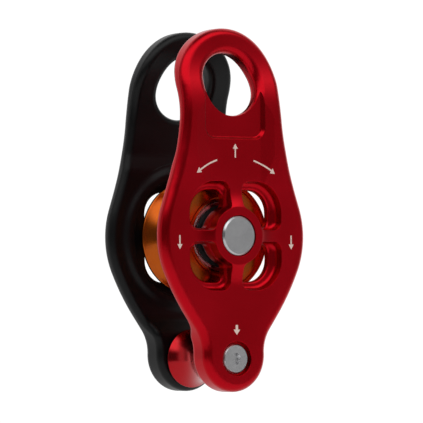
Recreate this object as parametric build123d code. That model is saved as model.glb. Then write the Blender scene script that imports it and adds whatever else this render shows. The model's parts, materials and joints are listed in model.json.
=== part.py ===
from build123d import *
import os
from math import atan2, cos, degrees, radians, sin, sqrt, tan

# Rope pulley: two forged side plates, a ball-bearing sheave on a fixed axle, a connector eye above
# and a becket bobbin below. Millimetres. Everything is drawn about the axle, with +Z towards the
# eye and the front plate at -Y, and is moved at the end so that the origin is the eye's centre.

# ---- side plate outline, seen from the front ----
belly_radius = 32.4
eye_height = 56.2            # eye centre above the axle
eye_hole_radius = 11.7
eye_ring_width = 10.2
eye_outline_drop = 0.9       # the eye's outline is centred this far below its hole
neck_sweep_radius = 100.0    # hollow between the flank and the eye
upper_flank_angle = 19.0     # lean of the straight upper flank from vertical, degrees
lower_flank_start = 24.0     # where the belly circle gives way to the lower flank, degrees
lower_flank_angle = 36.0
lower_flank_radius = 90.0
lobe_radius = 13.7
lobe_drop = 44.0             # lobe centre below the axle
lobe_sweep_radius = 14.0

# ---- side plate section: distances from the pulley's middle plane ----
plate_face = 20.3            # flat outer face
plate_inner = 14.0           # inner face beside the sheave
neck_rim_rise = 0.7          # the neck's two rims stand this far above the flat face
neck_rim_place = 17.6        # the rims' distance from the upright middle line
valley_half_width = 11.6     # the flat between them
neck_inner = 15.0
eye_face = 15.9              # outer face at the top of the eye, which leans inwards
eye_inner = 7.4
lobe_inner = 10.0            # inner boss that clamps the bobbin
neck_rise_start = 16.0       # heights of the section's bends above the axle
neck_rise_end = 30.0
neck_bend_radius = 60.0
neck_inner_bend_radius = 12.0
eye_bend_start = 50.0
eye_bend_end = 66.0
eye_bend_lead = 2.0          # the inner face starts its bend this much lower
eye_outer_bend_radius = 48.0
eye_inner_bend_radius = 36.0
lobe_bend_start = 30.4       # and below it
lobe_bend_end = 35.6
lobe_bend_radius = 5.0
outer_edge_round = 2.9
inner_edge_round = 2.5

# ---- shoulder round the sheave's recess ----
recess_radius = 22.5
shoulder_height = 1.3
shoulder_width = 5.8
shoulder_edge_round = 0.6
shoulder_land = 1.0

# ---- pocket below the eye ----
pocket_half_width = 12.6
pocket_bottom = 36.6
pocket_depth = 1.2
pocket_corner = 3.6
pocket_side_slope = 35.0
pocket_floor_round = 0.5

# ---- hub and windows ----
hub_radius = 10.75
hub_rise = 1.9
hub_flare_radius = 19.4      # where the hub's flare meets the flat face
window_reach = 20.8          # the windows share a rounded square outline: half its width
window_height = 20.2         # and half its height
window_corner = 11.5
window_depth = 4.0           # depth of the wide part, which ends in a ledge
window_ledge = 3.3           # width of the ledge round the way through
window_upright_step = 0.5    # the ledge beside an upright spoke
window_level_step = 0.8      # the ledge beside a level spoke
window_hub_step = 0.3
window_foot_round = 2.0
upright_spoke = 5.2
level_spoke = 4.1
window_outer_corner = 3.6
window_inner_corner = 2.2
window_ledge_round = 1.0

# ---- axle ----
axle_radius = 5.0
axle_head_radius = 7.35
axle_head_gap = 0.3
axle_head_height = 1.8
axle_head_proud = 0.45
axle_head_chamfer = 0.65
axle_tail_radius = 3.6
tail_chamfer = 0.3

# ---- bearings: 10 x 26 x 8 deep-groove, one each side ----
bearing_radius = 13.0
bearing_width = 8.0
ball_radius = 2.38
ball_count = 7
ball_circle_radius = 9.0
raceway_gap = 0.03
outer_land_radius = 10.9
inner_land_radius = 7.1
seal_seat_radius = 11.6
seal_thickness = 0.6
seal_depth = 0.25
seal_lip_gap = 0.12
cage_height = 5.7
cage_wall = 1.3
cage_pocket_gap = 0.08
ring_chamfer = 0.3

# ---- sheave ----
sheave_radius = 21.0
sheave_half_width = 11.2
sheave_tread_radius = 15.2
sheave_rim_land = 1.3
sheave_rim_round = 0.5
sheave_bore_chamfer = 0.5
sheave_web_inner = 14.2      # shallow turned recess in each side face
sheave_web_outer = 19.4
sheave_web_depth = 0.4
sheave_shoulder_radius = 11.7
side_spacer_radius = 9.9
side_spacer_foot = 0.5
side_spacer_foot_step = 0.1  # the foot stays this far inside the inner ring's land
fit_gap = 0.02               # radial gap of a fixed fit

# ---- becket ----
pin_drop = 45.4              # becket pin below the axle
pin_radius = 4.0
pin_head_radius = 5.65
pin_head_height = 1.9
pin_head_sunk = 0.6
pin_counterbore_radius = 6.5
pin_dimple_radius = 2.1
pin_dimple_depth = 1.3
dimple_taper = 0.7           # the dimple's floor radius as a share of its mouth
pin_tail_radius = 3.0
bobbin_flange_radius = 10.9
bobbin_waist_radius = 8.0
bobbin_end_radius = 9.3
bobbin_end_step = 0.7
bobbin_rim_land = 0.6
bobbin_rim_round = 0.25

# ---- worked-out places ----
eye_radius = eye_hole_radius + eye_ring_width
eye_outline_height = eye_height - eye_outline_drop
bearing_inner_face = sheave_half_width - bearing_width
bearing_middle = sheave_half_width - bearing_width / 2
hub_face = plate_face + hub_rise
neck_face = plate_face + neck_rim_rise
axle_top = hub_face + axle_head_proud
head_seat = axle_top - axle_head_height
pin_top = plate_face - pin_head_sunk
pin_seat = pin_top - pin_head_height
far = 200.0



def on_front(face, level):
    """A face drawn in X and Z, set at a distance in front of the middle plane."""
    return Plane(origin=(0, -level, 0), x_dir=(1, 0, 0), z_dir=(0, -1, 0)) * face


def front_block(face, low, high):
    """A face drawn in X and Z, made solid between two distances in front of the middle plane."""
    return extrude(on_front(face, low), amount=high - low, dir=(0, -1, 0))


def turned(*points):
    """A solid turned about the axle from a closed outline of (radius, y) points."""
    return revolve(make_face(Polyline(*points, close=True)), Axis.Y)


def ring(inner, outer, near, far_side):
    """A plain ring about the axle between two radii and two places along Y."""
    return turned((inner, near), (outer, near), (outer, far_side), (inner, far_side))


def rim_edges(blank, radius):
    """The circular edges of a turned piece that have a given radius."""
    circles = blank.edges().filter_by(GeomType.CIRCLE)
    return [e for e in circles if abs(e.radius - radius) < fit_gap]


# ---- side plates ----
def half_outline():
    """The right half of the plate's body, without the eye and the lobe."""
    low, up = radians(lower_flank_start), radians(upper_flank_angle)
    belly = CenterArc((0, 0), belly_radius, -lower_flank_start, lower_flank_start + upper_flank_angle)
    back = lower_flank_radius - belly_radius
    flank_centre = (-back * cos(low), back * sin(low))
    flank = CenterArc(flank_centre, lower_flank_radius, -lower_flank_angle, lower_flank_angle - lower_flank_start)
    steep = radians(lower_flank_angle)
    foot = flank @ 0
    lower_run = (foot.Y + lobe_drop) / cos(steep)
    lower_end = (foot.X - lower_run * sin(steep), -lobe_drop)
    head = belly @ 1
    upper_run = (eye_height - head.Y) / cos(up)
    upper_end = (head.X - upper_run * sin(up), eye_height)
    lower_line = Line(lower_end, (foot.X, foot.Y))
    upper_line = Line((head.X, head.Y), upper_end)
    top = Line(upper_end, (0, eye_height))
    spine = Line((0, eye_height), (0, -lobe_drop))
    bottom = Line((0, -lobe_drop), lower_end)
    return make_face([bottom, lower_line, flank, belly, upper_line, top, spine])


def plate_outline():
    """The whole plate seen from the front, with its hollow sweeps into the eye and the lobe."""
    right = half_outline()
    body = right + mirror(right, Plane.YZ)
    outline = body + Pos(0, eye_outline_height) * Circle(eye_radius) + Pos(0, -lobe_drop) * Circle(lobe_radius)
    outline = outline.face()
    neck = [v for v in outline.vertices() if is_sweep_corner(v, eye_outline_height, eye_radius)]
    outline = fillet(neck, neck_sweep_radius).face()
    waist = [v for v in outline.vertices() if is_sweep_corner(v, -lobe_drop, lobe_radius)]
    return fillet(waist, lobe_sweep_radius).face()


def is_sweep_corner(vertex, height, radius):
    """Whether a corner lies where a round end meets a flank, on the belly's side of that end."""
    on_circle = abs(sqrt(vertex.X**2 + (vertex.Y - height) ** 2) - radius) < 0.01
    return on_circle and abs(vertex.Y) < abs(height) and abs(vertex.X) > 1


def plate_section():
    """The plate seen from the side: its outer and its inner line, in Y and Z."""
    low, high = -lobe_drop - 2 * lobe_radius, eye_height + 2 * eye_radius
    outer = FilletPolyline(
        (-plate_face, low),
        (-plate_face, neck_rise_start),
        (-neck_face, neck_rise_end),
        (-neck_face, eye_bend_start),
        (-eye_face, eye_bend_end),
        (-eye_face, high),
        radius=[neck_bend_radius, neck_bend_radius, eye_outer_bend_radius, eye_outer_bend_radius],
    )
    inner = FilletPolyline(
        (-eye_inner, high),
        (-eye_inner, eye_bend_end),
        (-neck_inner, eye_bend_start - eye_bend_lead),
        (-neck_inner, neck_rise_end + 1),
        (-plate_inner, neck_rise_end - 5),
        (-plate_inner, -lobe_bend_start),
        (-lobe_inner, -lobe_bend_end),
        (-lobe_inner, low),
        radius=[
            eye_inner_bend_radius,
            eye_inner_bend_radius,
            neck_inner_bend_radius,
            neck_inner_bend_radius,
            lobe_bend_radius,
            lobe_bend_radius,
        ],
    )
    return outer, inner


def plate_blank():
    """The forging before machining: outline and section, with the eye bored and every edge rounded."""
    outer, inner = plate_section()
    ends = [Line(outer @ 1, inner @ 0), Line(inner @ 1, outer @ 0)]
    side_view = Plane.YZ * make_face([*outer.edges(), *inner.edges(), *ends])
    block = front_block(plate_outline(), 0, hub_face)
    blank = block & extrude(side_view, amount=far, both=True)
    blank -= front_block(Pos(0, eye_height) * Circle(eye_hole_radius), 0, hub_face)
    walls = [e for e in blank.edges() if lies_on_wall(e)]
    outside = [e for e in walls if lies_along(e, outer)]
    inside = [e for e in walls if not lies_along(e, outer)]
    blank = fillet(outside, outer_edge_round)
    inside = [e for e in blank.edges() if any((e @ 0.5 - old @ 0.5).length < fit_gap for old in inside)]
    return fillet(inside, inner_edge_round)


def lies_along(edge, line):
    """Whether an edge's middle lies on one of the section's two lines."""
    middle = edge @ 0.5
    return Vertex(middle.Y, middle.Z, 0).distance_to(line) < fit_gap


def lies_on_wall(edge):
    """Whether an edge runs along the outline or round the eye's bore, and not across a face."""
    start, middle, end = edge @ 0, edge @ 0.5, edge @ 1
    straight_through = abs(start.Y - end.Y) > 0.98 * edge.length
    along_x = all(abs((edge % place).X) > 0.999 for place in (0.25, 0.5, 0.75))
    across = along_x and abs(middle.X) < fit_gap
    return not straight_through and not across


def neck_valley():
    """The shallow flat-bottomed hollow that runs down the neck between its two rims."""
    floor, lip = valley_half_width, neck_rim_place
    cut = make_face(
        Polyline(
            (-floor, -plate_face),
            (floor, -plate_face),
            (lip, -neck_face),
            (lip, -hub_face),
            (-lip, -hub_face),
            (-lip, -neck_face),
            close=True,
        )
    )
    return extrude(Pos(0, 0, neck_rise_start) * cut, amount=eye_height - neck_rise_start)


def pocket():
    """The sunk panel below the eye, with sloping sides, open into the eye at its top."""
    top = eye_height + pocket_corner
    height = top - pocket_bottom
    panel = Pos(0, pocket_bottom + height / 2) * Rectangle(2 * pocket_half_width, height)
    lower = [v for v in panel.vertices() if v.Y < pocket_bottom + fit_gap]
    panel = on_front(fillet(lower, pocket_corner), plate_face - pocket_depth)
    rise = pocket_depth + 2 * neck_rim_rise
    tool = extrude(panel, amount=rise, dir=(0, -1, 0), taper=-pocket_side_slope)
    bottom = tool.faces().sort_by(Axis.Y)[-1]
    return fillet(bottom.edges(), pocket_floor_round)


def flat_point(curve, place):
    """The X and Y of a point on a curve, as a plain pair."""
    point = curve @ place
    return (point.X, point.Y)


def hub():
    """The round hub that carries the axle head, with a flare that meets the flat face."""
    run = hub_flare_radius - hub_radius
    bend = (run**2 + hub_rise**2) / (2 * hub_rise)
    turn = degrees(2 * atan2(hub_rise, run))
    flare = CenterArc((hub_flare_radius, -plate_face - bend), bend, 90, turn)
    back = -plate_inner - hub_rise
    sides = Polyline(
        flat_point(flare, 1),
        (0, -hub_face),
        (0, back),
        (hub_flare_radius, back),
        flat_point(flare, 0),
    )
    return revolve(make_face([*flare.edges(), *sides.edges()]), Axis.Y)


def window(inset, hub_step, side, level):
    """One of the four openings round the hub, inset from the shared outline and the spokes."""
    outline = RectangleRounded(
        2 * (window_reach - inset), 2 * (window_height - inset), window_corner - inset
    )
    shape = outline - Circle(hub_radius + hub_step)
    shape = (shape & Pos(side + far / 2, level + far / 2) * Rectangle(far, far)).face()
    middle = (window_height + hub_radius) / 2
    outside = [v for v in shape.vertices() if Vector(v).length > middle and min(v.X - side, v.Y - level) < fit_gap]
    shape = fillet(outside, window_outer_corner).face()
    inside = [v for v in shape.vertices() if Vector(v).length < hub_radius + hub_step + fit_gap]
    return fillet(inside, window_inner_corner).face()


def quarter_block(face, low):
    """A window's face made solid from a distance in front of the middle plane outwards."""
    return front_block(face, low, hub_face + window_depth)


def windows(plate):
    """The plate with its four windows: a wide rounded hollow, a ledge and a smaller way through."""
    side, level = upright_spoke / 2, level_spoke / 2
    floor = plate_face - window_depth
    hollow = quarter_block(window(0, 0, side, level), floor)
    bottom = hollow.faces().sort_by(Axis.Y)[-1]
    hollow = fillet(bottom.edges(), window_foot_round)
    opening = window(window_ledge, window_hub_step, side + window_upright_step, level + window_level_step)
    way = quarter_block(opening, 0)
    for upright in (False, True):
        for across in (False, True):
            for tool in (hollow, way):
                tool = mirror(tool, Plane.YZ) if upright else tool
                plate -= mirror(tool, Plane.XY) if across else tool
    middle = (window_height + hub_radius) / 2
    outline = [e for e in opening.edges() if (e @ 0.5).length > middle]
    rim = [e for e in plate.edges() if lies_level(e, floor) and lies_over(e, outline)]
    return fillet(rim, window_ledge_round)


def lies_level(edge, level):
    """Whether an edge lies flat at a distance in front of the middle plane."""
    return all(abs((edge @ place).Y + level) < fit_gap for place in (0, 0.5, 1))


def lies_over(edge, outline):
    """Whether an edge's middle lies on an outline drawn in the upper right quarter."""
    middle = edge @ 0.5
    point = Vertex(abs(middle.X), abs(middle.Z), 0)
    return min(point.distance_to(part) for part in outline) < fit_gap


def shoulder():
    """The soft raised ring round the recess that the sheave's edge turns in."""
    crest, base = shoulder_height - plate_inner, -plate_inner
    outer = recess_radius + shoulder_width
    edge = CenterArc((recess_radius + shoulder_edge_round, crest - shoulder_edge_round), shoulder_edge_round, 90, 90)
    slope = Spline(
        (recess_radius + shoulder_edge_round + shoulder_land, crest),
        (outer, base),
        tangents=[(1, 0), (1, 0)],
    )
    top = Line(flat_point(edge, 0), flat_point(slope, 0))
    root = base - shoulder_height
    rest = Polyline(flat_point(slope, 1), (outer, root), (recess_radius, root), flat_point(edge, 1))
    return revolve(make_face([*slope.edges(), *edge.edges(), *rest.edges(), *top.edges()]), Axis.Y)


def front_plate():
    """The finished front plate."""
    plate = plate_blank() - neck_valley() - pocket()
    plate = plate + shoulder() + hub()
    plate = windows(plate)
    plate -= front_block(Circle(axle_head_radius + axle_head_gap), head_seat, far)
    plate -= front_block(Circle(axle_radius + fit_gap), 0, far)
    at_pin = Pos(0, -pin_drop)
    plate -= front_block(at_pin * Circle(pin_counterbore_radius), pin_seat, far)
    return plate - front_block(at_pin * Circle(pin_radius + fit_gap), 0, far)


# ---- fasteners ----
def headed_pin(radius, head, head_height, head_top, seat, tail):
    """A pin with a chamfered head at the front and a thinner tail that is formed at the rear."""
    bevel = axle_head_chamfer
    return turned(
        (0, -head_top),
        (head - bevel, -head_top),
        (head, bevel - head_top),
        (head, head_height - head_top),
        (radius, head_height - head_top),
        (radius, seat),
        (tail, seat),
        (tail, head_top - tail_chamfer),
        (tail - tail_chamfer, head_top),
        (0, head_top),
    )


def rear_collar(head, seat, head_top, tail):
    """The collar that the formed tail holds against the rear plate."""
    bevel = axle_head_chamfer
    return turned(
        (tail + fit_gap, seat),
        (head, seat),
        (head, head_top - bevel),
        (head - bevel, head_top),
        (tail + tail_chamfer, head_top),
        (tail + fit_gap, head_top - tail_chamfer),
    )


def dimple(radius, depth, top):
    """The drilled-looking hollow in the middle of a becket fastener's end."""
    return turned((0, top), (radius, top), (radius * dimple_taper, top + depth), (0, top + depth))


# ---- bearings ----
def raceway():
    """The groove that the balls run in, cut from both rings."""
    return Pos(0, -bearing_middle) * Rot(X=90) * Torus(ball_circle_radius, ball_radius + raceway_gap)


def outer_ring():
    """The front bearing's outer ring, with a seat for a seal on each side."""
    near, deep = -sheave_half_width, seal_depth + seal_thickness
    blank = turned(
        (seal_seat_radius, near),
        (bearing_radius - ring_chamfer, near),
        (bearing_radius, near + ring_chamfer),
        (bearing_radius, -bearing_inner_face - ring_chamfer),
        (bearing_radius - ring_chamfer, -bearing_inner_face),
        (seal_seat_radius, -bearing_inner_face),
        (seal_seat_radius, -bearing_inner_face - deep),
        (outer_land_radius, -bearing_inner_face - deep),
        (outer_land_radius, near + deep),
        (seal_seat_radius, near + deep),
    )
    return blank - raceway()


def inner_ring():
    """The front bearing's inner ring."""
    near, inner = -sheave_half_width, axle_radius + fit_gap
    blank = turned(
        (inner, near + ring_chamfer),
        (inner + ring_chamfer, near),
        (inner_land_radius, near),
        (inner_land_radius, -bearing_inner_face),
        (inner + ring_chamfer, -bearing_inner_face),
        (inner, -bearing_inner_face - ring_chamfer),
    )
    return blank - raceway()


def ball_places():
    """The front bearing's ball centres."""
    turns = [radians(360 * i / ball_count) for i in range(ball_count)]
    return [(ball_circle_radius * sin(t), -bearing_middle, ball_circle_radius * cos(t)) for t in turns]


def cage():
    """The front bearing's ball cage: a ring with a round pocket for each ball."""
    low, high = ball_circle_radius - cage_wall / 2, ball_circle_radius + cage_wall / 2
    blank = ring(low, high, -bearing_middle - cage_height / 2, -bearing_middle + cage_height / 2)
    for place in ball_places():
        blank -= Pos(*place) * Sphere(ball_radius + cage_pocket_gap)
    return blank


def seal(face, inwards):
    """A flat seal whose outer edge sits in the outer ring, set in from one of the ring's faces."""
    near = face + inwards * seal_depth
    return ring(
        inner_land_radius + seal_lip_gap,
        seal_seat_radius - fit_gap,
        near,
        near + inwards * seal_thickness,
    )


# ---- sheave and spacers ----
def sheave():
    """The rope sheave: an arc groove, and a bore for a bearing at each side of a middle shoulder."""
    half, rim = sheave_half_width, sheave_radius
    blank = ring(sheave_shoulder_radius, rim, -half, half)
    opening, depth = half - sheave_rim_land, rim - sheave_tread_radius
    groove_radius = (opening**2 + depth**2) / (2 * depth)
    blank -= Rot(X=90) * Torus(sheave_tread_radius + groove_radius, groove_radius)
    blank = fillet(rim_edges(blank, rim), sheave_rim_round)
    seat, mouth = bearing_radius + fit_gap, bearing_radius + sheave_bore_chamfer
    for side in (-1, 1):
        blank -= turned(
            (0, side * bearing_inner_face),
            (seat, side * bearing_inner_face),
            (seat, side * (half - sheave_bore_chamfer)),
            (mouth, side * half),
            (0, side * half),
        )
        blank -= turned(
            (sheave_web_inner, side * half),
            (sheave_web_outer, side * half),
            (sheave_web_outer - sheave_web_depth, side * (half - sheave_web_depth)),
            (sheave_web_inner + sheave_web_depth, side * (half - sheave_web_depth)),
        )
    return blank


def side_spacer():
    """The flanged spacer between the front plate and the front bearing's inner ring."""
    inner, foot = axle_radius + fit_gap, inner_land_radius - side_spacer_foot_step
    flange = -sheave_half_width - side_spacer_foot
    return turned(
        (inner, -sheave_half_width),
        (foot, -sheave_half_width),
        (foot, flange),
        (side_spacer_radius, flange),
        (side_spacer_radius, -plate_inner),
        (inner, -plate_inner),
    )


# ---- becket ----
def bobbin():
    """The flanged bobbin that is clamped between the lobes, about the becket pin."""
    end, rim = lobe_inner, bobbin_flange_radius
    step = end - bobbin_end_step
    lip = step - bobbin_rim_land
    bore = pin_radius + fit_gap
    waist_arc = ThreePointArc((rim, lip), (bobbin_waist_radius, 0), (rim, -lip))
    rest = Polyline(
        (rim, -lip),
        (rim, -step),
        (bobbin_end_radius, -step),
        (bobbin_end_radius, -end),
        (bore, -end),
        (bore, end),
        (bobbin_end_radius, end),
        (bobbin_end_radius, step),
        (rim, step),
        (rim, lip),
    )
    blank = revolve(make_face([*waist_arc.edges(), *rest.edges()]), Axis.Y)
    return Pos(0, 0, -pin_drop) * fillet(rim_edges(blank, rim), bobbin_rim_round)


# ---- all pieces, about the axle ----
def to_rear(piece):
    """The same piece on the rear side, turned half a turn about the upright middle line."""
    return Rot(Z=180) * piece


pieces = {
    "front_side_plate": front_plate(),
    "axle_pin": headed_pin(axle_radius, axle_head_radius, axle_head_height, axle_top, head_seat, axle_tail_radius),
    "axle_rear_collar": rear_collar(axle_head_radius, head_seat, axle_top, axle_tail_radius),
    "front_side_spacer": side_spacer(),
    "sheave": sheave(),
    "front_bearing_outer_ring": outer_ring(),
    "front_bearing_inner_ring": inner_ring(),
    "front_bearing_cage": cage(),
    "front_bearing_outer_seal": seal(-sheave_half_width, 1),
    "front_bearing_inner_seal": seal(-bearing_inner_face, -1),
    "inner_ring_spacer": ring(axle_radius + fit_gap, inner_land_radius, -bearing_inner_face, bearing_inner_face),
    "becket_bobbin": bobbin(),
}
at_becket = Pos(0, 0, -pin_drop)
becket_pin = headed_pin(pin_radius, pin_head_radius, pin_head_height, pin_top, pin_seat, pin_tail_radius)
becket_pin -= dimple(pin_dimple_radius, pin_dimple_depth, -pin_top)
pieces["becket_pin"] = at_becket * becket_pin
pieces["becket_rear_collar"] = at_becket * rear_collar(pin_head_radius, pin_seat, pin_top, pin_tail_radius)
for number, place in enumerate(ball_places(), 1):
    pieces[f"front_bearing_ball_{number}"] = Pos(*place) * Sphere(ball_radius)
for name in [n for n in pieces if n.startswith("front_")]:
    pieces[name.replace("front_", "rear_")] = to_rear(pieces[name])

os.makedirs("parts", exist_ok=True)
for name, piece in pieces.items():
    solid = Pos(0, 0, -eye_height) * piece
    solid = solid.solids()[0] if len(solid.solids()) == 1 else solid
    export_step(solid, f"parts/{name}.step")
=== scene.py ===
import json
import logging
import math
from dataclasses import dataclass, field
from enum import Enum
from typing import Any, Iterable

import bpy
from mathutils import Matrix, Vector


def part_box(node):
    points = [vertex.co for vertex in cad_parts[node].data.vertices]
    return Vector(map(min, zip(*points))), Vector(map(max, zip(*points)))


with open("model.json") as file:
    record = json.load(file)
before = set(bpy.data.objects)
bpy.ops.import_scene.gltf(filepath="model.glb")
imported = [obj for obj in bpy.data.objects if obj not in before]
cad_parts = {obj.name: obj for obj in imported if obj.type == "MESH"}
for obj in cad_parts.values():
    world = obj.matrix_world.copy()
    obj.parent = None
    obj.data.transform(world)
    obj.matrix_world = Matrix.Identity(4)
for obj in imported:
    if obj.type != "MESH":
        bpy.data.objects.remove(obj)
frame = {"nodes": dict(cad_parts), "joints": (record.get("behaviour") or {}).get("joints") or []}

logging.basicConfig(level=logging.INFO, format="%(message)s")
LOG = logging.getLogger("rope_pulley")

Colour = tuple[float, float, float]
Number = "float | Signal"

MM_PER_M = 1000.0
PRINT_SOFT = 0.06
LINE_SOFT = 0.08
SHAFT_START = 0.6


class Side(Enum):
    """Which side plate a piece belongs to."""

    FRONT = "front"
    REAR = "rear"


class Signal:
    """A shader socket that can be used in plain arithmetic."""

    def __init__(self, tree: bpy.types.NodeTree, socket: bpy.types.NodeSocket) -> None:
        """Wraps a socket.

        Args:
            tree: the node tree that the socket is in.
            socket: the output socket.
        """
        self.tree = tree
        self.socket = socket

    def math(self, operation: str, *others: Number, clamp: bool = False) -> "Signal":
        """Adds a Math node that starts from this signal.

        Args:
            operation: the Math node's operation.
            others: the other inputs, numbers or signals.
            clamp: whether the result is kept between 0 and 1.

        Returns:
            The node's result.
        """
        return math_node(self.tree, operation, (self, *others), clamp)

    def __add__(self, other: Number) -> "Signal":
        """This signal plus another value."""
        return self.math("ADD", other)

    def __radd__(self, other: float) -> "Signal":
        """A number plus this signal."""
        return self.math("ADD", other)

    def __sub__(self, other: Number) -> "Signal":
        """This signal minus another value."""
        return self.math("SUBTRACT", other)

    def __rsub__(self, other: float) -> "Signal":
        """A number minus this signal."""
        return math_node(self.tree, "SUBTRACT", (other, self))

    def __mul__(self, other: Number) -> "Signal":
        """This signal times another value."""
        return self.math("MULTIPLY", other)

    def __rmul__(self, other: float) -> "Signal":
        """A number times this signal."""
        return self.math("MULTIPLY", other)

    def __truediv__(self, other: Number) -> "Signal":
        """This signal over another value."""
        return self.math("DIVIDE", other)

    def __rtruediv__(self, other: float) -> "Signal":
        """A number over this signal."""
        return math_node(self.tree, "DIVIDE", (other, self))

    def __neg__(self) -> "Signal":
        """This signal with its sign turned."""
        return self.math("MULTIPLY", -1.0)

    def __abs__(self) -> "Signal":
        """This signal without its sign."""
        return self.math("ABSOLUTE")

    def most(self, other: Number) -> "Signal":
        """The larger of this signal and another value."""
        return self.math("MAXIMUM", other)

    def root(self) -> "Signal":
        """The square root of this signal."""
        return self.math("SQRT")

    def wave(self) -> "Signal":
        """The sine of this signal."""
        return self.math("SINE")

    def rise(self, low: float, high: float) -> "Signal":
        """A soft step from 0 at one value to 1 at another.

        Args:
            low: where the result is 0.
            high: where the result is 1; it may be below low.

        Returns:
            The smoothed step.
        """
        share = ((self - low) / (high - low)).math("ADD", 0.0, clamp=True)
        return share * share * (3.0 - 2.0 * share)

    def band(self, low: float, high: float, soft: float) -> "Signal":
        """A soft-edged band that is 1 between two values.

        Args:
            low: the band's lower edge.
            high: the band's upper edge.
            soft: the width of each soft edge.

        Returns:
            The band's mask.
        """
        return self.rise(low - soft, low + soft) * self.rise(high + soft, high - soft)


def plug(tree: bpy.types.NodeTree, socket: bpy.types.NodeSocket, value: Any) -> None:
    """Gives a socket a link or a constant.

    Args:
        tree: the node tree.
        socket: the input socket.
        value: a Signal, or a constant of the socket's kind.
    """
    if isinstance(value, Signal):
        tree.links.new(value.socket, socket)
    elif isinstance(value, tuple) and len(value) == 3 and socket.type == "RGBA":
        socket.default_value = (*value, 1.0)
    else:
        socket.default_value = value


def math_node(
    tree: bpy.types.NodeTree, operation: str, values: Iterable[Number], clamp: bool = False
) -> Signal:
    """Adds one Math node.

    Args:
        tree: the node tree.
        operation: the node's operation.
        values: its inputs in order.
        clamp: whether the result is kept between 0 and 1.

    Returns:
        The node's result.
    """
    node = tree.nodes.new("ShaderNodeMath")
    node.operation = operation
    node.use_clamp = clamp
    for socket, value in zip(node.inputs, values):
        plug(tree, socket, value)
    return Signal(tree, node.outputs[0])


class Shader:
    """A node tree that is built by expressions."""

    def __init__(self, tree: bpy.types.NodeTree) -> None:
        """Clears a tree and starts on it.

        Args:
            tree: the node tree of a material or a world.
        """
        self.tree = tree
        tree.nodes.clear()

    def node(
        self, kind: str, settings: dict[str, Any] | None = None, inputs: dict[Any, Any] | None = None
    ) -> bpy.types.Node:
        """Adds any node.

        Args:
            kind: the node's type name without its ShaderNode prefix.
            settings: attributes that are set first; "stops" fills a colour ramp.
            inputs: values or signals by socket name or index.

        Returns:
            The node.
        """
        node = self.tree.nodes.new("ShaderNode" + kind)
        for name, value in (settings or {}).items():
            if name == "stops":
                self.fill_ramp(node.color_ramp, value)
            else:
                setattr(node, name, value)
        for name, value in (inputs or {}).items():
            plug(self.tree, node.inputs[name], value)
        return node

    @staticmethod
    def fill_ramp(ramp: bpy.types.ColorRamp, stops: list[tuple[float, Colour]]) -> None:
        """Sets a colour ramp's stops.

        Args:
            ramp: the ramp.
            stops: pairs of place and colour, in order.
        """
        while len(ramp.elements) < len(stops):
            ramp.elements.new(1.0)
        for element, (place, colour) in zip(ramp.elements, stops):
            element.position = place
            element.color = (*colour, 1.0)

    def output(self, kind: str, settings: dict[str, Any], inputs: dict[Any, Any], socket: Any = 0) -> Signal:
        """Adds a node and wraps one of its outputs."""
        return Signal(self.tree, self.node(kind, settings, inputs).outputs[socket])

    def place(self) -> tuple[Signal, Signal, Signal, Signal]:
        """The point being shaded, in the object's own frame.

        Returns:
            The point as a vector, then its X, Y and Z, in metres.
        """
        point = self.output("TexCoord", {}, {}, "Object")
        parts = self.node("SeparateXYZ", {}, {0: point})
        return (point, *(Signal(self.tree, out) for out in parts.outputs))

    def noise(self, point: Signal, scale: float, detail: float = 3.0, rough: float = 0.5) -> Signal:
        """A noise value about 0.5.

        Args:
            point: where it is read.
            scale: features per metre.
            detail: how many finer layers.
            rough: how strong the finer layers are.

        Returns:
            The noise, 0 to 1.
        """
        return self.output(
            "TexNoise", {}, {"Vector": point, "Scale": scale, "Detail": detail, "Roughness": rough}, 0
        )

    def mix(self, share: Number, low: Any, high: Any) -> Signal:
        """A mix of two colours.

        Args:
            share: 0 for the first colour, 1 for the second.
            low: the first colour.
            high: the second colour.

        Returns:
            The mixed colour.
        """
        node = self.node("Mix", {"data_type": "RGBA"}, {0: share})
        plug(self.tree, node.inputs[6], low)
        plug(self.tree, node.inputs[7], high)
        return Signal(self.tree, node.outputs[2])

    def bump(self, height: Signal, depth: float, edge: float = 0.0) -> Signal:
        """A bumped normal, with the edges under it eased.

        Args:
            height: the height, 0 to 1.
            depth: what a height of 1 is worth, in metres.
            edge: how far an edge is eased, in metres, or 0 to leave it sharp.

        Returns:
            The normal.
        """
        inputs = {"Strength": 1.0, "Distance": depth, "Height": height}
        if edge:
            inputs["Normal"] = self.output("Bevel", {"samples": 6}, {"Radius": edge})
        return self.output("Bump", {}, inputs)

    def principled(self, **inputs: Any) -> None:
        """Ends a material with one Principled shader.

        Args:
            inputs: its sockets, with underscores for spaces.
        """
        named = {name.replace("_", " "): value for name, value in inputs.items()}
        shader = self.output("BsdfPrincipled", {}, named)
        self.node("OutputMaterial", {}, {"Surface": shader})


@dataclass(frozen=True)
class Finish:
    """A surface finish that can be made into a material."""

    name: str

    def material(self) -> bpy.types.Material:
        """Makes the material.

        Returns:
            The finished material.
        """
        made = bpy.data.materials.new(self.name)
        made.use_nodes = True
        self.paint(Shader(made.node_tree))
        return made

    def paint(self, shader: Shader) -> None:
        """Fills the material's nodes.

        Args:
            shader: the tree to fill.
        """
        raise NotImplementedError


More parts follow.
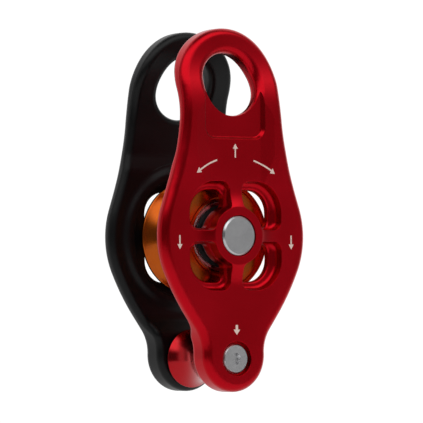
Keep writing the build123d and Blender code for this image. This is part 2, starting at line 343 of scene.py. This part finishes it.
@dataclass(frozen=True)
class Arrow:
    """A printed arrow: a straight shaft and a filled head, in millimetres about the axle."""

    tail: tuple[float, float]
    tip: tuple[float, float]
    head_length: float = 1.9
    head_half: float = 1.15
    line_half: float = 0.3

    def mask(self, x: Signal, z: Signal) -> Signal:
        """Where the arrow is printed.

        Args:
            x: the point's X in millimetres.
            z: the point's height above the axle in millimetres.

        Returns:
            1 on the arrow, 0 elsewhere.
        """
        run = Vector(self.tip) - Vector(self.tail)
        length = run.length
        along_x, along_z = run / length
        back = (x - self.tip[0]) * -along_x + (z - self.tip[1]) * -along_z
        off = abs((x - self.tip[0]) * -along_z + (z - self.tip[1]) * along_x)
        line = off.rise(self.line_half + LINE_SOFT, self.line_half - LINE_SOFT)
        shaft = back.band(self.head_length * SHAFT_START, length, PRINT_SOFT) * line
        return shaft.most(arrow_head(back, off, self.head_length, self.head_half))


@dataclass(frozen=True)
class CurvedArrow:
    """A printed arrow that bends round the axle, in millimetres and degrees from upright."""

    radius: float = 29.1
    start: float = 16.5
    end: float = 37.5
    head_length: float = 2.0
    head_half: float = 1.15
    line_half: float = 0.3

    def mask(self, x: Signal, z: Signal) -> Signal:
        """Where the pair of arrows, left and right, is printed.

        Args:
            x: the point's X in millimetres.
            z: the point's height above the axle in millimetres.

        Returns:
            1 on an arrow, 0 elsewhere.
        """
        side = abs(x)
        angle = side.math("ARCTAN2", z)
        reach = (side * side + z * z).root()
        head = math.radians(self.end)
        back = (head - angle) * self.radius
        off = abs(reach - self.radius)
        span = math.radians(self.end - self.start) * self.radius
        line = off.rise(self.line_half + LINE_SOFT, self.line_half - LINE_SOFT)
        shaft = back.band(self.head_length * SHAFT_START, span, PRINT_SOFT) * line
        return shaft.most(arrow_head(back, off, self.head_length, self.head_half))


def arrow_head(back: Signal, off: Signal, length: float, half: float) -> Signal:
    """A filled triangle.

    Args:
        back: the distance behind the tip.
        off: the distance from the arrow's line.
        length: the head's length.
        half: half its width at the back.

    Returns:
        1 in the triangle, 0 elsewhere.
    """
    inside = (back * (half / length) - off).rise(-PRINT_SOFT, PRINT_SOFT)
    return inside * back.band(0.0, length, PRINT_SOFT)


@dataclass(frozen=True)
class Anodised(Finish):
    """Blasted and anodised aluminium, with an optional set of printed arrows."""

    colour: Colour = (0.52, 0.002, 0.01)
    deep: Colour = (0.45, 0.001, 0.007)
    metal: float = 1.0
    rough: float = 0.3
    rough_spread: float = 0.05
    coat: float = 0.08
    coat_rough: float = 0.2
    specular: float = 0.5
    grain: float = 0.000012
    edge: float = 0.0004
    marks: tuple[Any, ...] = ()
    mark_colour: Colour = (0.86, 0.66, 0.58)
    mark_limit: float = 0.0
    mark_rough: float = 0.25
    mark_height: float = 0.8
    cloud_scale: float = 38.0
    grit_scale: float = 5200.0
    fine_scale: float = 1500.0
    grit_share: float = 0.55
    axle_height: float = 0.0

    def paint(self, shader: Shader) -> None:
        """Fills the material's nodes.

        Args:
            shader: the tree to fill.
        """
        point, x, y, z = shader.place()
        cloud = shader.noise(point, self.cloud_scale, 2.0)
        grit = shader.noise(point, self.grit_scale, 2.0, 0.6)
        fine = shader.noise(point, self.fine_scale, 3.0, 0.6)
        colour = shader.mix(cloud.rise(0.3, 0.7), self.deep, self.colour)
        rough = self.rough + (cloud - 0.5) * self.rough_spread + (grit - 0.5) * (self.rough_spread * 1.4)
        height = grit * self.grit_share + fine * (1.0 - self.grit_share)
        metal: Number = self.metal
        if self.marks:
            masks = [mark.mask(x * MM_PER_M, (z - self.axle_height) * MM_PER_M) for mark in self.marks]
            printed = masks[0]
            for mask in masks[1:]:
                printed = printed.most(mask)
            outer_face = y.math("LESS_THAN", self.mark_limit)
            worn = printed * fine.rise(0.16, 0.3) * outer_face
            colour = shader.mix(worn, colour, self.mark_colour)
            metal = self.metal * (1.0 - worn)
            rough = rough + worn * self.mark_rough
            height = height + worn * self.mark_height
        shader.principled(
            Base_Color=colour,
            Metallic=metal,
            Roughness=rough,
            Coat_Weight=self.coat,
            Coat_Roughness=self.coat_rough,
            Specular_IOR_Level=self.specular,
            Normal=shader.bump(height, self.grain, self.edge),
        )


@dataclass(frozen=True)
class Turned(Finish):
    """Metal that was turned on a lathe, with fine rings about a line along Y."""

    colour: Colour = (0.62, 0.62, 0.63)
    deep: Colour = (0.5, 0.5, 0.51)
    metal: float = 1.0
    rough: float = 0.26
    coat: float = 0.0
    pitch: float = 0.00022
    ring_depth: float = 0.000006
    grain: float = 0.000004
    helix: float = 0.71
    wobble_scale: float = 900.0
    cloud_scale: float = 120.0
    grit_scale: float = 4200.0
    centre_height: float = 0.0

    def paint(self, shader: Shader) -> None:
        """Fills the material's nodes.

        Args:
            shader: the tree to fill.
        """
        point, x, y, z = shader.place()
        rise = z - self.centre_height
        reach = (x * x + rise * rise).root()
        wobble = shader.noise(point, self.wobble_scale, 2.0) * self.pitch
        feed = 2.0 * math.pi / self.pitch
        rings = ((reach + y * self.helix + wobble) * feed).wave() * 0.5 + 0.5
        cloud = shader.noise(point, self.cloud_scale, 3.0)
        grit = shader.noise(point, self.grit_scale, 2.0)
        tone = shader.mix(cloud * 0.7 + rings * 0.3, self.deep, self.colour)
        shader.principled(
            Base_Color=tone,
            Metallic=self.metal,
            Roughness=self.rough + (cloud - 0.5) * 0.08 + (rings - 0.5) * 0.06,
            Coat_Weight=self.coat,
            Coat_Roughness=0.12,
            Normal=shader.bump(rings * 0.8 + grit * (self.grain / self.ring_depth), self.ring_depth),
        )


@dataclass(frozen=True)
class Moulded(Finish):
    """Moulded rubber or nylon with a fine matt grain and shallow ribs about the axle."""

    colour: Colour = (0.02, 0.02, 0.021)
    deep: Colour = (0.012, 0.012, 0.012)
    rough: float = 0.55
    rib_pitch: float = 0.0011
    depth: float = 0.00004
    grain_scale: float = 2600.0
    cloud_scale: float = 160.0
    centre_height: float = 0.0

    def paint(self, shader: Shader) -> None:
        """Fills the material's nodes.

        Args:
            shader: the tree to fill.
        """
        point, x, _, z = shader.place()
        rise = z - self.centre_height
        reach = (x * x + rise * rise).root()
        ribs = (reach * (2.0 * math.pi / self.rib_pitch)).wave() * 0.5 + 0.5
        grain = shader.noise(point, self.grain_scale, 3.0)
        cloud = shader.noise(point, self.cloud_scale, 2.0)
        shader.principled(
            Base_Color=shader.mix(cloud, self.deep, self.colour),
            Roughness=self.rough + (grain - 0.5) * 0.2,
            Normal=shader.bump(ribs * 0.6 + grain * 0.4, self.depth),
        )


@dataclass(frozen=True)
class Plaster(Finish):
    """The studio floor's matt white."""

    colour: Colour = (0.9, 0.9, 0.9)
    cloud_scale: float = 3.0
    shade: float = 0.985

    def paint(self, shader: Shader) -> None:
        """Fills the material's nodes.

        Args:
            shader: the tree to fill.
        """
        point = shader.place()[0]
        cloud = shader.noise(point, self.cloud_scale, 2.0)
        low = tuple(part * self.shade for part in self.colour)
        shader.principled(Base_Color=shader.mix(cloud, low, self.colour), Roughness=0.9)


def dress(nodes: Iterable[str], finish: Finish) -> None:
    """Gives one finish to some CAD nodes.

    Args:
        nodes: the nodes' names.
        finish: what they are finished with.
    """
    material = finish.material()
    for name in nodes:
        piece = frame["nodes"][name]
        if not piece.material_slots:
            piece.data.materials.append(material)
        for slot in piece.material_slots:
            slot.material = material
        LOG.info("%s: %s", name, finish.name)


@dataclass
class SidePlates:
    """The red front plate and the black rear plate."""

    axle_height: float
    print_reach: float = 0.002
    arrows: tuple[Any, ...] = (
        Arrow(tail=(0.0, 28.9), tip=(0.0, 34.1)),
        CurvedArrow(),
        Arrow(tail=(-25.3, 0.2), tip=(-25.3, -5.0)),
        Arrow(tail=(25.3, 0.2), tip=(25.3, -5.0)),
        Arrow(tail=(0.0, -32.9), tip=(0.0, -36.6), head_length=2.0, head_half=1.5, line_half=0.55),
    )

    def build(self) -> None:
        """Dresses both plates."""
        red = Anodised(
            "red_satin_anodised",
            marks=self.arrows,
            mark_limit=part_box("front_side_plate")[0][1] + self.print_reach,
            axle_height=self.axle_height,
        )
        dress(["front_side_plate"], red)
        black = Anodised(
            "black_satin_anodised",
            colour=(0.003, 0.003, 0.0033),
            deep=(0.002, 0.002, 0.0022),
            metal=0.0,
            rough=0.36,
            coat=0.0,
            specular=0.22,
        )
        dress(["rear_side_plate"], black)


@dataclass
class SheaveSet:
    """The sheave, its bearings and the spacers beside them."""

    axle_height: float
    sides: tuple[Side, ...] = (Side.FRONT, Side.REAR)
    balls: int = 7

    def build(self) -> None:
        """Dresses every piece that is on the axle between the plates."""
        height = self.axle_height
        orange = Turned(
            "orange_bright_anodised",
            colour=(0.52, 0.1, 0.006),
            deep=(0.42, 0.075, 0.003),
            rough=0.22,
            coat=0.2,
            pitch=0.00034,
            centre_height=height,
        )
        dress(["sheave"], orange)
        rings = Turned("bearing_ring_steel", colour=(0.6, 0.6, 0.61), rough=0.2, centre_height=height)
        names = [f"{side.value}_bearing_{part}_ring" for side in self.sides for part in ("outer", "inner")]
        dress(names, rings)
        spacer = Turned("spacer_steel", colour=(0.5, 0.5, 0.51), rough=0.3, centre_height=height)
        dress([*(f"{side.value}_side_spacer" for side in self.sides), "inner_ring_spacer"], spacer)
        ball = Turned(
            "ball_steel", colour=(0.78, 0.78, 0.8), rough=0.07, ring_depth=0.000001, centre_height=height
        )
        numbers = range(1, self.balls + 1)
        dress([f"{side.value}_bearing_ball_{i}" for side in self.sides for i in numbers], ball)
        nylon = Moulded("cage_nylon", colour=(0.7, 0.66, 0.52), deep=(0.6, 0.56, 0.42), centre_height=height)
        dress([f"{side.value}_bearing_cage" for side in self.sides], nylon)
        rubber = Moulded("seal_rubber", centre_height=height)
        places = ("outer", "inner")
        dress([f"{side.value}_bearing_{place}_seal" for side in self.sides for place in places], rubber)


@dataclass
class Fasteners:
    """The axle, the becket pin and their rear collars."""

    axle_height: float
    becket_height: float

    def build(self) -> None:
        """Dresses the four turned steel pieces."""
        axle = Turned("axle_steel", centre_height=self.axle_height)
        dress(["axle_pin", "axle_rear_collar"], axle)
        becket = Turned("becket_pin_steel", centre_height=self.becket_height)
        dress(["becket_pin", "becket_rear_collar"], becket)


@dataclass
class Becket:
    """The bobbin between the lower lobes."""

    becket_height: float

    def build(self) -> None:
        """Dresses the bobbin."""
        red = Turned(
            "red_bright_anodised",
            colour=(0.48, 0.004, 0.01),
            deep=(0.38, 0.003, 0.007),
            rough=0.2,
            coat=0.3,
            pitch=0.0003,
            centre_height=self.becket_height,
        )
        dress(["becket_bobbin"], red)


@dataclass(frozen=True)
class Softbox:
    """A soft-edged bright patch of the studio: its middle, its size and its strength."""

    azimuth: float
    elevation: float
    half_width: float
    half_height: float
    soft: float
    strength: float

    def glow(self, azimuth: Signal, elevation: Signal) -> Signal:
        """The patch's light in a direction.

        Args:
            azimuth: the direction's azimuth in degrees.
            elevation: the direction's height in degrees.

        Returns:
            The light it adds.
        """
        turn = abs((azimuth - self.azimuth + 540.0).math("MODULO", 360.0) - 180.0)
        rise = abs(elevation - self.elevation)
        across = turn.rise(self.half_width + self.soft, self.half_width - self.soft)
        up = rise.rise(self.half_height + self.soft, self.half_height - self.soft)
        return across * up * self.strength


@dataclass
class Studio:
    """The floor, the studio's light and the camera."""

    axle_height: float
    base: float = 0.1
    boxes: tuple[Softbox, ...] = (
        Softbox(azimuth=150.0, elevation=0.0, half_width=66.0, half_height=64.0, soft=12.0, strength=0.95),
        Softbox(azimuth=-25.0, elevation=50.0, half_width=80.0, half_height=22.0, soft=9.0, strength=1.5),
        Softbox(azimuth=-30.0, elevation=-46.0, half_width=80.0, half_height=20.0, soft=9.0, strength=1.35),
        Softbox(azimuth=42.0, elevation=0.0, half_width=24.0, half_height=34.0, soft=9.0, strength=0.28),
        Softbox(azimuth=-118.0, elevation=0.0, half_width=13.0, half_height=60.0, soft=8.0, strength=0.55),
    )
    floor_height: float = -0.45
    floor_radius: float = 2.2
    floor_sides: int = 96
    azimuth: float = -35.3
    elevation: float = -1.1
    distance: float = 1.4
    lens: float = 318.8
    roll: float = 0.5
    shift: tuple[float, float] = (0.0170, 0.0603)
    sensor_width: float = 36.0
    clip_start: float = 0.05

    def build(self) -> None:
        """Makes the floor, the light and the camera."""
        self.build_floor()
        self.build_light()
        self.build_camera()

    def build_floor(self) -> None:
        """Makes the plain pale floor."""
        mesh = bpy.data.meshes.new("studio_floor")
        radius = self.floor_radius
        turns = [2.0 * math.pi * i / self.floor_sides for i in range(self.floor_sides)]
        rim = [(radius * math.cos(t), radius * math.sin(t), self.floor_height) for t in turns]
        mesh.from_pydata(rim, [], [tuple(range(self.floor_sides))])
        floor = bpy.data.objects.new("studio_floor", mesh)
        bpy.context.scene.collection.objects.link(floor)
        mesh.materials.append(Plaster("floor_plaster").material())
        LOG.info("studio_floor")

    def build_light(self) -> None:
        """Makes the soft studio light, all round the object."""
        world = bpy.data.worlds.new("studio_light")
        world.use_nodes = True
        bpy.context.scene.world = world
        shader = Shader(world.node_tree)
        direction = shader.output("TexCoord", {}, {}, "Generated")
        parts = shader.node("SeparateXYZ", {}, {0: direction})
        x, y, z = (Signal(shader.tree, out) for out in parts.outputs)
        degrees = 180.0 / math.pi
        azimuth = x.math("ARCTAN2", -y) * degrees
        elevation = z.math("ARCSINE") * degrees
        light = self.boxes[0].glow(azimuth, elevation) + self.base
        for box in self.boxes[1:]:
            light = light + box.glow(azimuth, elevation)
        sky = shader.output("Background", {}, {"Color": (1.0, 1.0, 1.0), "Strength": light})
        shader.node("OutputWorld", {}, {"Surface": sky})
        bpy.context.scene.view_settings.view_transform = "Standard"
        LOG.info("studio_light")

    def build_camera(self) -> None:
        """Puts the camera where the object is seen from."""
        turn, rise = math.radians(self.azimuth), math.radians(self.elevation)
        away = Vector((math.sin(turn) * math.cos(rise), -math.cos(turn) * math.cos(rise), math.sin(rise)))
        target = Vector((0.0, 0.0, self.axle_height))
        data = bpy.data.cameras.new("camera")
        camera = bpy.data.objects.new("camera", data)
        bpy.context.scene.collection.objects.link(camera)
        looking = away.to_track_quat("Z", "Y").to_matrix().to_4x4()
        spin = Matrix.Rotation(math.radians(-self.roll), 4, "Z")
        camera.matrix_world = Matrix.Translation(target + away * self.distance) @ looking @ spin
        data.sensor_width = self.sensor_width
        data.lens = self.lens
        data.shift_x, data.shift_y = self.shift
        data.clip_start = self.clip_start
        bpy.context.scene.camera = camera
        LOG.info("camera")


@dataclass
class Pulley:
    """The whole rope pulley, with the heights of its two cross axes."""

    axle_height: float = field(default_factory=lambda: frame["joints"][0]["pos_m"][2])

    @property
    def becket_height(self) -> float:
        """The height of the becket pin's line."""
        low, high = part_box("becket_pin")
        return (low[2] + high[2]) / 2

    def build(self) -> None:
        """Dresses every piece in order."""
        SidePlates(self.axle_height).build()
        SheaveSet(self.axle_height).build()
        Fasteners(self.axle_height, self.becket_height).build()
        Becket(self.becket_height).build()


def main() -> None:
    """Builds the object and its studio."""
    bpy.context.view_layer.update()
    pulley = Pulley()
    pulley.build()
    Studio(pulley.axle_height).build()


if __name__ == "__main__":
    main()
